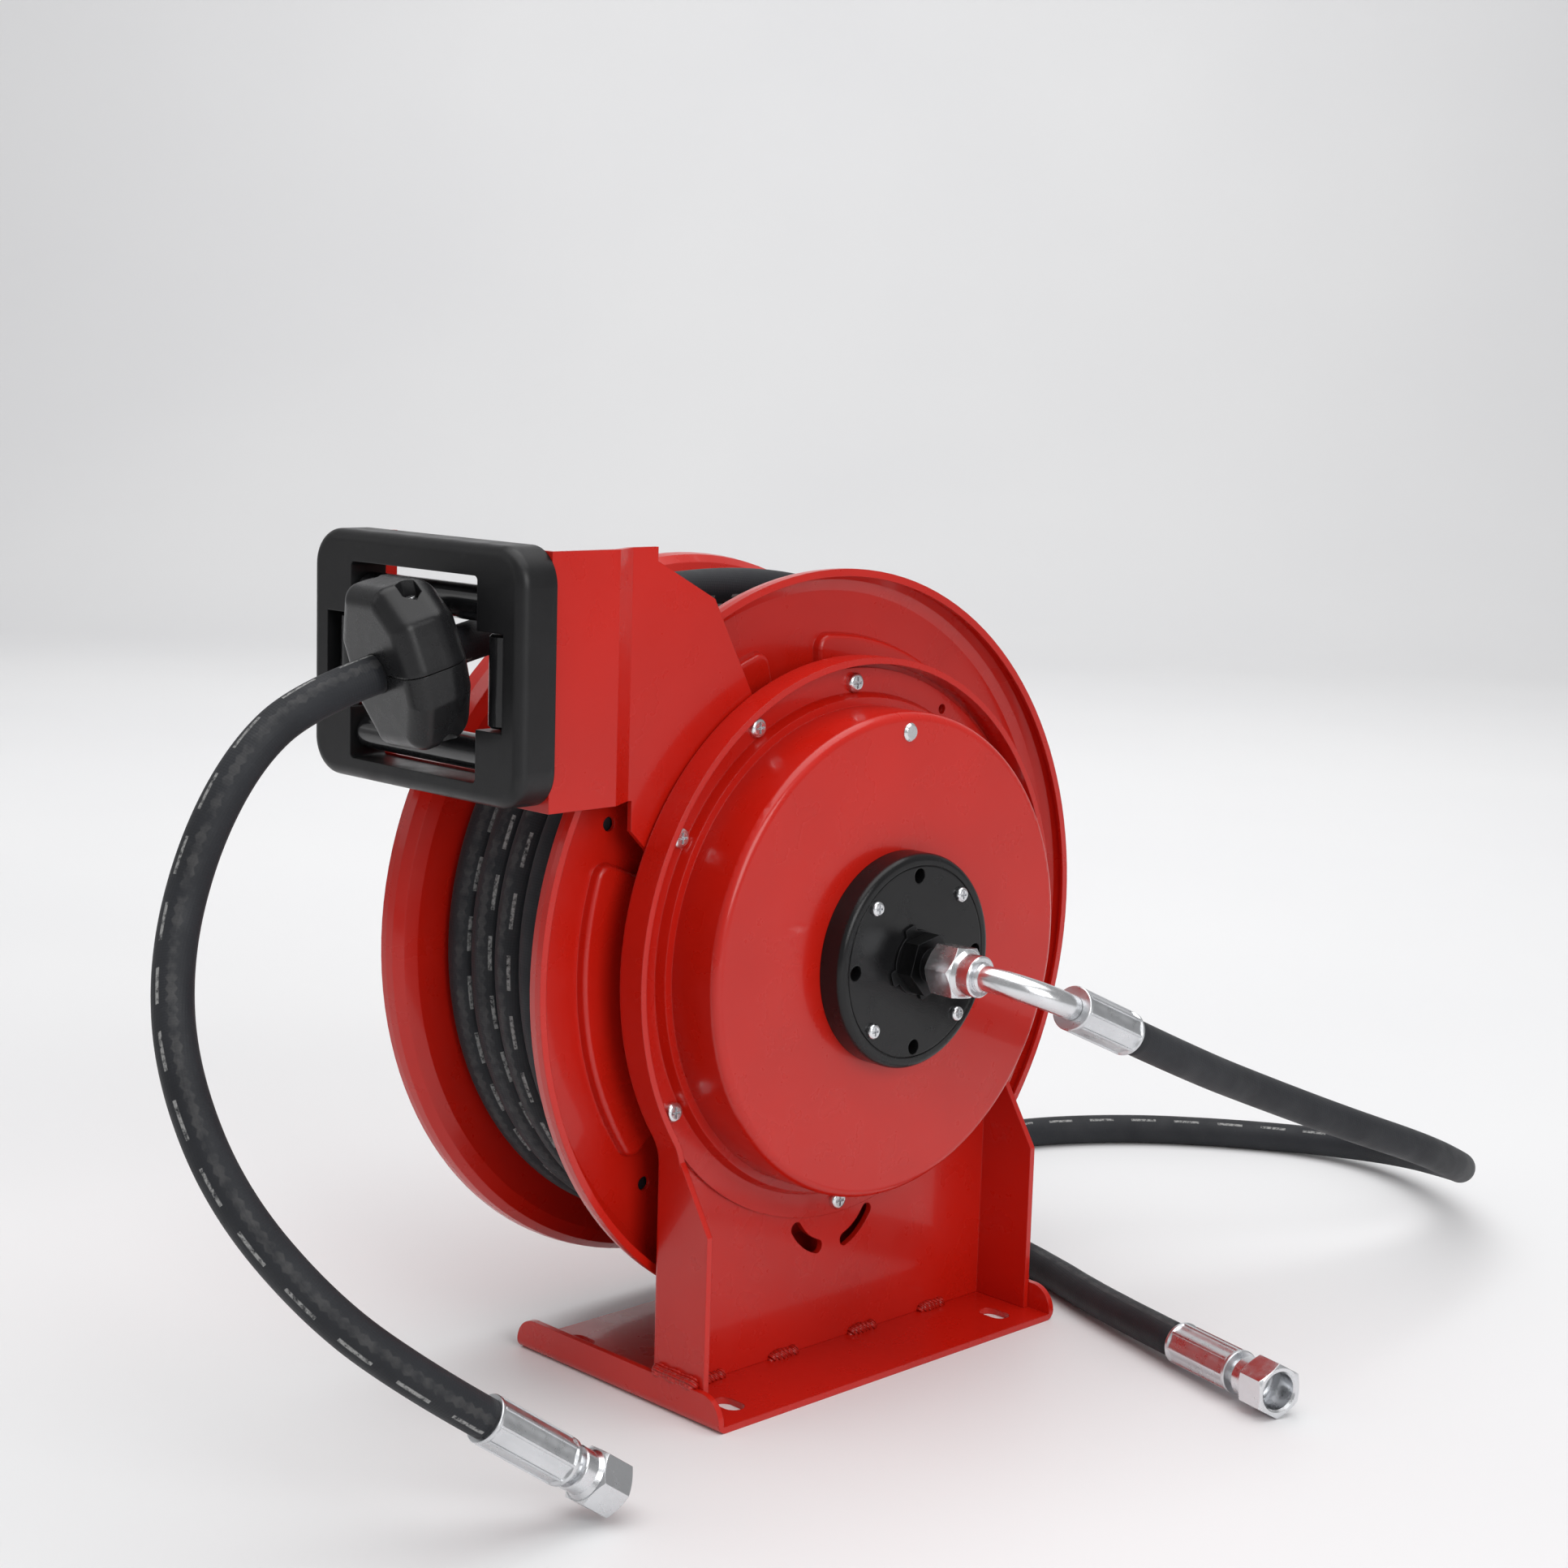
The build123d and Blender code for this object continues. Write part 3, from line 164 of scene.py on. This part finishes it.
# ------------------------------------------------------------------ materials
class Graph:
    """A short way to write a node material."""

    def __init__(self, name):
        self.material = bpy.data.materials.new(name)
        self.material.use_nodes = True
        self.tree = self.material.node_tree
        self.shader = self.tree.nodes["Principled BSDF"]

    def add(self, kind, **values):
        node = self.tree.nodes.new(kind)
        for key, value in values.items():
            setattr(node, key, value)
        return node

    def join(self, out, into):
        self.tree.links.new(out, into)

    def feed(self, socket, value):
        if hasattr(value, "is_output"):
            self.join(value, socket)
        else:
            socket.default_value = value

    def math(self, operation, a, b=0.0, c=0.0, clamp=False):
        node = self.add("ShaderNodeMath", operation=operation, use_clamp=clamp)
        for socket, value in zip(node.inputs, (a, b, c)):
            self.feed(socket, value)
        return node.outputs[0]

    def place(self):
        return self.add("ShaderNodeTexCoord").outputs["Object"]

    def uv(self):
        node = self.add("ShaderNodeSeparateXYZ")
        self.join(self.add("ShaderNodeTexCoord").outputs["UV"], node.inputs[0])
        return node.outputs[0], node.outputs[1]

    def noise(self, scale, detail=3.0, rough=0.5, vector=None, stretch=None):
        node = self.add("ShaderNodeTexNoise")
        node.inputs["Scale"].default_value = scale
        node.inputs["Detail"].default_value = detail
        node.inputs["Roughness"].default_value = rough
        source = vector or self.place()
        if stretch:
            mapping = self.add("ShaderNodeMapping")
            mapping.inputs["Scale"].default_value = stretch
            self.join(source, mapping.inputs["Vector"])
            source = mapping.outputs[0]
        self.join(source, node.inputs["Vector"])
        return node.outputs["Fac"]

    def ramp(self, value, low, high, out_low=0.0, out_high=1.0):
        node = self.add("ShaderNodeMapRange")
        node.clamp = True
        for socket, item in zip(node.inputs[:5], (value, low, high, out_low, out_high)):
            self.feed(socket, item)
        return node.outputs[0]

    def mix(self, amount, a, b):
        node = self.add("ShaderNodeMix", data_type="RGBA")
        self.feed(node.inputs[0], amount)
        self.feed(node.inputs[6], a if hasattr(a, "is_output") else (*a, 1.0))
        self.feed(node.inputs[7], b if hasattr(b, "is_output") else (*b, 1.0))
        return node.outputs[2]

    def bump(self, height, strength, distance, normal=None):
        node = self.add("ShaderNodeBump")
        node.inputs["Strength"].default_value = strength
        node.inputs["Distance"].default_value = distance
        self.join(height, node.inputs["Height"])
        if normal is not None:
            self.join(normal, node.inputs["Normal"])
        return node.outputs[0]

    def rounded(self, radius):
        node = self.add("ShaderNodeBevel", samples=4)
        node.inputs["Radius"].default_value = radius
        return node.outputs[0]

    def finish(self, color, rough, normal=None, **values):
        self.feed(self.shader.inputs["Base Color"], color if hasattr(color, "is_output") else (*color, 1.0))
        self.feed(self.shader.inputs["Roughness"], rough)
        if normal is not None:
            self.join(normal, self.shader.inputs["Normal"])
        for key, value in values.items():
            self.shader.inputs[key.replace("_", " ")].default_value = value
        return self.material


def red_paint(name="red_powder_coat", ripple=None):
    g = Graph(name)
    broad = g.noise(9.0, 2.0)
    fine = g.noise(220.0, 2.0)
    color = g.mix(g.ramp(broad, 0.35, 0.65), (0.46, 0.0085, 0.0032), (0.53, 0.0105, 0.0042))
    dust = g.ramp(g.noise(1500.0, 1.0), 0.72, 0.80, 0.0, 0.02)
    color = g.mix(dust, color, (0.70, 0.10, 0.09))
    rough = g.ramp(g.noise(60.0, 4.0), 0.3, 0.7, 0.24, 0.36)
    edge = g.rounded(0.0007)
    normal = g.bump(fine, 0.035, 0.0005, edge)
    normal = g.bump(g.noise(700.0, 2.0), 0.025, 0.0002, normal)
    if ripple is not None:
        spot = g.add("ShaderNodeSeparateXYZ")
        g.join(g.place(), spot.inputs[0])
        along = g.math("ADD", spot.outputs[1], spot.outputs[2])
        phase = g.math("MULTIPLY", along, 2 * math.pi / ripple)
        wave = g.math("SINE", g.math("ADD", phase, g.noise(260.0, 2.0)))
        normal = g.bump(wave, 0.9, 0.0007, normal)
    return g.finish(color, rough, normal, Coat_Weight=0.30, Coat_Roughness=0.07, Specular_IOR_Level=0.35)


def black_plastic(name="satin_black_plastic", low=0.30, high=0.44, tone=0.009):
    g = Graph(name)
    broad = g.noise(14.0, 3.0)
    color = g.mix(g.ramp(broad, 0.35, 0.65), (tone, tone, tone * 1.08), (tone * 1.5, tone * 1.5, tone * 1.6))
    scratch = g.noise(38.0, 6.0, 0.7, stretch=(1.0, 9.0, 1.6))
    marks = g.ramp(scratch, 0.63, 0.72, 0.0, 0.35)
    color = g.mix(marks, color, (0.035, 0.035, 0.038))
    rough = g.ramp(g.noise(90.0, 5.0, 0.6), 0.3, 0.7, low, high)
    normal = g.bump(g.noise(1600.0, 2.0), 0.16, 0.0002, g.rounded(0.0008))
    return g.finish(color, rough, normal, Specular_IOR_Level=0.32)


def roller_plastic():
    g = Graph("gloss_black_roller")
    color = g.mix(g.ramp(g.noise(20.0), 0.4, 0.6), (0.007, 0.007, 0.008), (0.013, 0.013, 0.014))
    rough = g.ramp(g.noise(240.0, 4.0, 0.6), 0.3, 0.7, 0.14, 0.26)
    normal = g.bump(g.noise(500.0, 2.0), 0.08, 0.0002)
    return g.finish(color, rough, normal, Coat_Weight=0.5, Coat_Roughness=0.06)


def metal(name, tone, low, high, stretch=(1, 1, 1), grime=0.25, scale=120.0):
    g = Graph(name)
    patch = g.noise(30.0, 4.0, 0.6)
    color = g.mix(g.ramp(patch, 0.35, 0.7, 0.0, grime), tone, tuple(t * 0.55 for t in tone))
    brush = g.noise(scale, 5.0, 0.65, stretch=stretch)
    rough = g.ramp(brush, 0.3, 0.7, low, high)
    normal = g.bump(brush, 0.12, 0.0003, g.rounded(0.0004))
    return g.finish(color, rough, normal, Metallic=1.0)


def hose_rubber(name, layline=None, band=None, drift=0.0012):
    """Matt rubber with a cloth-wrap rib, a plain dashed line and a worn edge beside it."""
    g = Graph(name)
    u, v = g.uv()
    weave_round = 20 / HOSE_R
    twist = g.math("ADD", g.math("MULTIPLY", u, weave_round), g.math("MULTIPLY", v, 2500.0))
    twill = g.math("ADD", g.math("MULTIPLY", u, -weave_round), g.math("MULTIPLY", v, 2900.0))
    weave = g.math("MULTIPLY", g.math("SINE", twist), g.math("SINE", twill))
    wobble = g.noise(300.0, 3.0)
    height = g.math("ADD", g.math("MULTIPLY", weave, 0.5), g.math("MULTIPLY", wobble, 0.9))
    broad = g.noise(22.0, 3.0)
    color = g.mix(g.ramp(broad, 0.35, 0.7), (0.0095, 0.0105, 0.0135), (0.017, 0.0185, 0.0225))
    chalk = g.ramp(g.noise(420.0, 5.0, 0.7), 0.56, 0.74, 0.0, 0.12)
    color = g.mix(chalk, color, (0.06, 0.061, 0.065))
    u = g.math("ADD", u, g.math("MULTIPLY", g.math("SINE", g.math("MULTIPLY", v, 4.7)), drift))
    if band is not None:
        away = g.math("ABSOLUTE", g.math("SUBTRACT", u, band))
        tooth = g.math("MULTIPLY", g.math("PINGPONG", v, 0.0024), 0.55)
        serrated = g.math("SUBTRACT", g.math("ADD", tooth, 0.0011), away)
        worn = g.math("MULTIPLY", g.ramp(serrated, -0.0003, 0.0003), g.ramp(g.noise(160.0, 4.0), 0.34, 0.6))
        color = g.mix(g.math("MULTIPLY", worn, 0.30), color, (0.105, 0.102, 0.10))
        height = g.math("ADD", height, g.math("MULTIPLY", worn, 0.8))
    if layline is not None:
        away = g.math("ABSOLUTE", g.math("SUBTRACT", u, layline))
        across = g.ramp(away, 0.0006, 0.0010, 1.0, 0.0)
        dash = g.math("LESS_THAN", g.math("MODULO", v, 0.026), 0.015)
        dashes = g.math("MULTIPLY", across, dash)
        mask = g.math("MULTIPLY", dashes, g.ramp(g.noise(520.0, 4.0, 0.7), 0.36, 0.56))
        color = g.mix(g.math("MULTIPLY", mask, 0.6), color, (0.46, 0.46, 0.45))
    rough = g.ramp(g.noise(70.0, 4.0), 0.3, 0.7, 0.52, 0.70)
    normal = g.bump(height, 0.17, 0.0003)
    return g.finish(color, rough, normal, Specular_IOR_Level=0.34, Sheen_Weight=0.04, Sheen_Roughness=0.5)


def seal_rubber():
    g = Graph("seal_rubber")
    color = g.mix(g.noise(200.0), (0.010, 0.010, 0.010), (0.02, 0.02, 0.02))
    return g.finish(color, g.ramp(g.noise(90.0), 0.3, 0.7, 0.5, 0.7), g.bump(g.noise(900.0), 0.2, 0.0002))


def floor_paint():
    g = Graph("studio_floor")
    color = g.mix(g.ramp(g.noise(1.3, 2.0), 0.3, 0.7), (0.79, 0.79, 0.80), (0.82, 0.82, 0.825))
    rough = g.ramp(g.noise(3.0, 3.0), 0.3, 0.7, 0.46, 0.58)
    return g.finish(color, rough, g.bump(g.noise(40.0, 4.0), 0.04, 0.0005), Specular_IOR_Level=0.35)


RED = red_paint()
WELD = red_paint("painted_weld_bead", ripple=0.0026)
PLASTIC = black_plastic()
DISC = black_plastic("scratched_black_disc", 0.16, 0.30, 0.006)
BALL = black_plastic("moulded_black_ball", 0.22, 0.36, 0.009)
ROLLER = roller_plastic()
ZINC = metal("bright_zinc", (0.80, 0.81, 0.83), 0.16, 0.34, (1, 1, 1))
FERRULE = metal("crimped_zinc", (0.74, 0.755, 0.775), 0.22, 0.42, (1, 1, 1), 0.35, 200.0)
STEEL = metal("turned_steel", (0.52, 0.52, 0.53), 0.26, 0.44, (9, 1, 1))
SPRING = metal("blued_spring_steel", (0.24, 0.26, 0.30), 0.28, 0.42, (1, 6, 6))
BEARING = metal("polished_bearing", (0.78, 0.78, 0.80), 0.08, 0.16)
BRASS = metal("turned_brass", (0.72, 0.52, 0.22), 0.24, 0.38, (8, 1, 1))
BLACK_STEEL = metal("black_oxide_steel", (0.045, 0.045, 0.047), 0.30, 0.46)
SEAL = seal_rubber()
FREE_HOSE = hose_rubber("free_hose_rubber", layline=0.0106, band=0.0046)
INLET_HOSE = hose_rubber("inlet_hose_rubber", layline=0.0436, band=0.0498)
WOUND_HOSE = hose_rubber("wound_hose_rubber", layline=0.0068, band=0.0112, drift=0.0030)

BY_SLOT = {
    "red_paint": RED,
    "black_plastic": PLASTIC,
    "roller_plastic": ROLLER,
    "zinc_steel": ZINC,
    "black_steel": BLACK_STEEL,
    "plain_steel": STEEL,
    "spring_steel": SPRING,
    "bearing_steel": BEARING,
    "brass": BRASS,
    "hose_rubber": WOUND_HOSE,
    "seal_rubber": SEAL,
}
SPECIAL = {
    "weld_beads": WELD,
    "bearing_cover": DISC,
    "ball_stop_upper": BALL,
    "ball_stop_lower": BALL,
}
for part in frame["record"]["subparts"]:
    material = SPECIAL.get(part["node"], BY_SLOT[part["material_slot"]])
    data = nodes[part["node"]].data
    data.materials.clear()
    data.materials.append(material)

# ------------------------------------------------------------------ free hoses
OUTLET = [
    (-0.0243, -0.2241, 0.3236),
    (-0.029, -0.2555, 0.3144),
    (-0.0295, -0.283, 0.294),
    (-0.029, -0.305, 0.259),
    (-0.0215, -0.3215, 0.218),
    (0.006, -0.3355, 0.182),
    (0.033, -0.331, 0.139),
    (0.062, -0.3085, 0.099),
    (0.083, -0.279, 0.071),
    (0.088, -0.253, 0.052),
]
INLET = [
    (0.138, 0.06596, 0.16263),
    (0.138, 0.11803, 0.13945),
    (0.134, 0.175, 0.117),
    (0.141, 0.240, 0.091),
    (0.146, 0.310, 0.065),
    (0.136, 0.365, 0.042),
    (0.100, 0.415, 0.026),
    (0.050, 0.445, 0.016),
    (-0.005, 0.448, 0.009),
    (-0.055, 0.420, 0.0082),
    (-0.105, 0.375, 0.0082),
    (-0.140, 0.310, 0.0082),
    (-0.140, 0.240, 0.0082),
    (-0.095, 0.185, 0.0082),
    (-0.030, 0.163, 0.0082),
    (0.035, 0.146, 0.0082),
    (0.091, 0.1235, 0.0096),
    (0.1467, 0.108, 0.011),
]
FEED = [
    (-0.0243, -0.2241, 0.3236),
    (-0.0152, -0.1633, 0.3414),
    (-0.038, -0.078, 0.349),
    (-0.041, 0.0, 0.352),
    (-0.040, 0.066, 0.339),
    (-0.039, 0.118, 0.300),
    (-0.039, 0.139, 0.245),
    (-0.039, 0.141, 0.200),
]


def crimped(name, mouth, before):
    """The CAD ferrule with the round parts between its ridges pressed into eight flats."""
    mouth = Vector(mouth)
    axis = (mouth - Vector(before)).normalized()
    side = axis.orthogonal().normalized()
    other = axis.cross(side)
    shape = bmesh.new()
    shape.from_mesh(nodes[name].data)
    bmesh.ops.remove_doubles(shape, verts=shape.verts[:], dist=1e-6)
    body, ridges = [], Vector((0.0, 0.0))
    for v in shape.verts:
        away = v.co - mouth
        out = away - axis * away.dot(axis)
        angle = math.atan2(out.dot(other), out.dot(side))
        if abs(out.length - FERRULE_BODY_R) < 0.00006:
            body.append((v, out, angle))
            continue
        beside_middle = abs(away.dot(axis) - FERRULE_MIDDLE) < RIDGE_REACH
        if out.length > RIDGE_R and beside_middle and abs(out.length - FERRULE_RIM_R) > 1e-5:
            ridges += Vector((math.cos(8 * angle), math.sin(8 * angle)))
    phase = math.atan2(ridges.y, ridges.x)
    for v, out, angle in body:
        v.co -= out * FLAT_DEPTH * (1 - math.cos(8 * angle - phase))
    mesh = bpy.data.meshes.new(name + "_crimped")
    plain = [tuple(v.co) for v in shape.verts]
    shape.verts.index_update()
    mesh.from_pydata(plain, [], [[v.index for v in face.verts] for face in shape.faces])
    shape.free()
    mesh.polygons.foreach_set("use_smooth", [True] * len(mesh.polygons))
    mesh.set_sharp_from_angle(angle=math.radians(24))
    mesh.materials.append(FERRULE)
    mesh.update()
    sleeve = link(bpy.data.objects.new(name + "_crimped", mesh))
    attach(sleeve, "frame")
    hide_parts(name)
    return sleeve


outlet_sleeve = crimped("outlet_ferrule", OUTLET[-1], OUTLET[-2])
inlet_end_sleeve = crimped("inlet_end_ferrule", INLET[-1], INLET[-2])
crimped("inlet_ferrule", INLET[0], INLET[1])

outlet_line = route_points(OUTLET)
outlet = tube("outlet_hose_line", outlet_line, HOSE_R, FREE_HOSE, up=Vector((1, -1, 0)))
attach(outlet, "frame")
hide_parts("outlet_hose")

inlet_line = route_points(INLET)
inlet = tube("inlet_hose_line", inlet_line, HOSE_R, INLET_HOSE, up=Vector((0, 0, 1)))
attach(inlet, "frame")
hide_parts("inlet_hose")

# ------------------------------------------------------------------ held hose
feed_line = route_points(FEED)
clear_of_wraps = 0.1400 + HOSE_R
kept_line = [p for p in feed_line if math.hypot(p.y, p.z - AXIS_Z) > clear_of_wraps or p.y < 0]
feed = tube("feed_hose_line", kept_line, HOSE_R, WOUND_HOSE, up=Vector((1, 0, 0)))
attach(feed, "frame")
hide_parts("feed_hose")

# ------------------------------------------------------------------ weld beads
def islands(mesh):
    """Lists of points, one for each separate lump of a mesh."""
    shape = bmesh.new()
    shape.from_mesh(mesh)
    bmesh.ops.remove_doubles(shape, verts=shape.verts[:], dist=1e-5)
    left = set(shape.verts)
    found = []
    while left:
        stack = [next(v for v in shape.verts if v in left)]
        left.discard(stack[0])
        lump = []
        while stack:
            v = stack.pop()
            lump.append(v.co.copy())
            for edge in v.link_edges:
                other = edge.other_vert(v)
                if other in left:
                    left.discard(other)
                    stack.append(other)
        found.append(lump)
    shape.free()
    return found


def bead_swell(run, whole):
    """Radius along a bead: overlapped pools, rounded off at both ends."""
    end = min(run, whole - run) / BEAD_END
    close = 1.0 if end >= 1 else math.sqrt(max(1 - (1 - end) ** 2, 0.04))
    pool = math.sqrt(abs(math.sin(math.pi * run / BEAD_STEP)))
    slow = 0.10 * math.sin(run * 610.0 + whole * 900.0)
    return BEAD_R * close * (0.84 + 0.16 * pool + slow)


bead_shape = bmesh.new()
for lump in islands(nodes["weld_beads"].data):
    low = Vector([min(p[i] for p in lump) for i in range(3)])
    high = Vector([max(p[i] for p in lump) for i in range(3)])
    mean = sum(lump, Vector()) / len(lump)
    long_axis = max(range(3), key=lambda i: high[i] - low[i])
    begin, end = low.copy(), high.copy()
    for i in range(3):
        if i != long_axis:
            corner = low[i] if mean[i] < (low[i] + high[i]) / 2 else high[i]
            begin[i] = end[i] = corner + (0.0006 if corner == low[i] else -0.0006)
    line = [begin.lerp(end, k / 60) for k in range(61)]
    across = Vector([1.0 if i == (long_axis + 1) % 3 else 0.0 for i in range(3)])
    one = tube("bead", line, 0.003, WELD, up=across, around=20, swell=bead_swell)
    bead_shape.from_mesh(one.data)
    bpy.data.objects.remove(one)
bead_mesh = bpy.data.meshes.new("weld_bead_ripples")
bead_shape.to_mesh(bead_mesh)
bead_shape.free()
bead_mesh.polygons.foreach_set("use_smooth", [True] * len(bead_mesh.polygons))
bead_mesh.materials.append(WELD)
beads = link(bpy.data.objects.new("weld_bead_ripples", bead_mesh))
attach(beads, "frame")
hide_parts("weld_beads")

# ------------------------------------------------------------------ wound hose
WRAP_R = 0.1396
WRAP_X = (-0.072, -0.0555, -0.039, -0.0225, -0.006)
WRAP_STEPS = 132
WRAP_START = math.radians(342)


def wrap_line():
    """The outer layer: each turn runs straight round, then crosses to the next place."""
    found = []
    last = len(WRAP_X) - 1
    for n, x in enumerate(WRAP_X):
        stop = WRAP_STEPS if n < last else round(WRAP_STEPS * 0.85)
        for k in range(stop):
            t = max(k / WRAP_STEPS - 0.85, 0.0) / 0.15
            shift = 0.0165 * t * t * (3 - 2 * t)
            tuck = 0.0
            if n == 0:
                tuck = max(1 - k / 8, 0.0)
            if n == last:
                tuck = max(1 - (stop - 1 - k) / 8, 0.0)
            r = WRAP_R - 0.013 * tuck * tuck
            a = WRAP_START + 2 * math.pi * k / WRAP_STEPS
            found.append(Vector((x + shift, r * math.cos(a), AXIS_Z + r * math.sin(a))))
    return found


def add_core(mesh, inner, outer, left, right, around=180):
    """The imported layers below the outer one, as a closed ring in the same mesh."""
    shape = bmesh.new()
    shape.from_mesh(mesh)
    layer = shape.loops.layers.uv.active
    corners = ((left, inner), (left, outer), (right, outer), (right, inner))
    rings = []
    for x, r in corners:
        ring = []
        for k in range(around):
            a = 2 * math.pi * k / around
            ring.append(shape.verts.new((x, r * math.cos(a), AXIS_Z + r * math.sin(a))))
        rings.append(ring)
    for i in range(4):
        one, two = rings[i], rings[(i + 1) % 4]
        for k in range(around):
            k2 = (k + 1) % around
            face = shape.faces.new((one[k], two[k], two[k2], one[k2]))
            for loop in face.loops:
                loop[layer].uv = (loop.vert.co.x, corners[i][1] * 2 * math.pi * k / around)
    bmesh.ops.recalc_face_normals(shape, faces=shape.faces[:])
    shape.to_mesh(mesh)
    shape.free()


wraps = tube("wound_hose_wraps", wrap_line(), HOSE_R, WOUND_HOSE, up=Vector((1, 0, 0)))
add_core(wraps.data, 0.1025, 0.1345, -0.0798, 0.0018)
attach(wraps, "drum")
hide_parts("wound_hose")

# ------------------------------------------------------------------ stage and light
FLOOR = floor_paint()
profile = [(-9.0, 0.0), (3.0, 0.0)]
for k in range(1, 13):
    a = math.radians(90 * k / 12)
    profile.append((3.0 + 1.2 * math.sin(a), 1.2 - 1.2 * math.cos(a)))
profile.append((4.2, 5.0))
verts, faces = [], []
look = Vector((-math.sin(CAMERA_SPIN), math.cos(CAMERA_SPIN), 0))
across = Vector((look.y, -look.x, 0))
for d, z in profile:
    for side in (-14.0, 14.0):
        verts.append(look * d + across * side + Vector((0, 0, z)))
for k in range(len(profile) - 1):
    faces.append((2 * k, 2 * k + 1, 2 * k + 3, 2 * k + 2))
floor = mesh_object("floor", verts, faces, FLOOR)


def area_light(name, at, target, size, power, color=(1, 1, 1)):
    data = bpy.data.lights.new(name, "AREA")
    data.shape = "RECTANGLE"
    data.size, data.size_y = size
    data.energy = power
    data.color = color
    light = link(bpy.data.objects.new(name, data))
    light.location = at
    light.rotation_euler = (Vector(target) - Vector(at)).to_track_quat("-Z", "Y").to_euler()
    return light


area_light("overhead", (0.1, 0.0, 2.4), (0, 0, 0), (2.8, 2.8), 50)
area_light("front_left", (-1.6, -2.0, 1.5), (0, 0, 0.2), (1.6, 1.6), 4)
area_light("front_right", (2.3, -0.6, 1.2), (0, 0, 0.2), (1.4, 1.4), 26)
area_light("backdrop", (-1.1, 1.1, 2.3), (-2.75, 2.75, 0.45), (3.4, 1.2), 36)

bpy.context.scene.view_settings.view_transform = "Standard"
world = bpy.data.worlds.new("studio")
bpy.context.scene.world = world
world.use_nodes = True
world.node_tree.nodes["Background"].inputs["Color"].default_value = (0.95, 0.95, 0.955, 1)
world.node_tree.nodes["Background"].inputs["Strength"].default_value = 0.38
